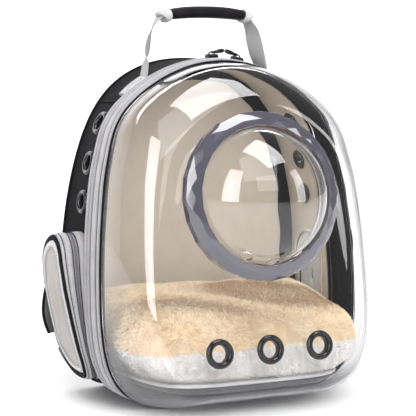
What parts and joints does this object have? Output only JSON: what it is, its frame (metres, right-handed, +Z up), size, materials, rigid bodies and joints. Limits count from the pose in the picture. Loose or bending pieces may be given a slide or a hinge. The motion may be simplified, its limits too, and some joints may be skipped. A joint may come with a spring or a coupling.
{
  "type": "pet carrier backpack",
  "caption": "Hard-shell pet carrier backpack: clear moulded front with a ringed viewing bubble, black fabric body, grey trim, plush pad inside.",
  "frame": {"origin": "on the floor, at the middle of the whole object's outline seen from above", "axes": "+Z up, the clear front and its bubble face -Y, the back panel and shoulder straps face +Y, +X is to the viewer's right"},
  "size_m": [0.3754, 0.2953, 0.4399],
  "materials": {
    "black_fabric": "matt woven polyester, black",
    "black_binding": "woven binding tape, black",
    "grey_band": "light grey woven trim with stitched edges",
    "zip_coil": "dark nylon coil and tape",
    "beige_lining": "beige lining cloth",
    "grey_mesh": "light grey open mesh",
    "clear_sheet": "clear thermoformed plastic, glossy",
    "ring_plastic": "smoky grey-lavender moulded plastic, faceted",
    "eyelet_black": "glossy black moulded eyelets",
    "plush": "long-pile plush, beige on top, white round the sides",
    "pad_board": "pale grey cloth over a stiff board",
    "dark_base": "dark grey cloth over a stiff insert",
    "pocket_panel": "grey-beige cloth panel",
    "grey_webbing": "grey woven webbing",
    "grip_foam": "black foam grip in cloth",
    "dark_metal": "black coated metal",
    "strap_fabric": "dark grey padded cloth"
  },
  "bodies": {
    "root": {"body_wall": "black_fabric", "back_panel": "black_fabric", "shell_binding": "black_binding", "frame_front_piping": "black_binding", "frame_lining": "black_binding", "corner_binding": "black_binding", "pocket_left_piping": "black_binding", "pocket_right_piping": "black_binding", "frame_front_band": "grey_band", "frame_wide_band": "grey_band", "frame_thin_band": "grey_band", "frame_rear_band": "grey_band", "pocket_left_band": "grey_band", "pocket_right_band": "grey_band", "zip_middle": "zip_coil", "zip_rear": "zip_coil", "pocket_left_zip": "zip_coil", "pocket_right_zip": "zip_coil", "lining": "beige_lining", "mesh_window_left": "grey_mesh", "mesh_window_right": "grey_mesh", "clear_shell": "clear_sheet", "bubble_dome": "clear_sheet", "bubble_ring": "ring_plastic", "front_eyelet_1": "eyelet_black", "front_eyelet_2": "eyelet_black", "front_eyelet_3": "eyelet_black", "side_eyelet_left_1": "eyelet_black", "side_eyelet_left_2": "eyelet_black", "side_eyelet_left_3": "eyelet_black", "side_eyelet_right_1": "eyelet_black", "side_eyelet_right_2": "eyelet_black", "side_eyelet_right_3": "eyelet_black", "plush_pad": "plush", "pad_board": "pad_board", "base_insert": "dark_base", "pocket_left_panel": "pocket_panel", "pocket_right_panel": "pocket_panel", "handle_webbing": "grey_webbing", "handle_keeper_left": "grey_webbing", "handle_keeper_right": "grey_webbing", "strap_webbing_left": "grey_webbing", "strap_webbing_right": "grey_webbing", "handle_grip": "grip_foam", "zip_slider_left": "dark_metal", "zip_slider_right": "dark_metal", "zip_pull_left": "dark_metal", "zip_pull_right": "dark_metal", "shoulder_strap_left": "strap_fabric", "shoulder_strap_right": "strap_fabric"}
  },
  "joints": []
}
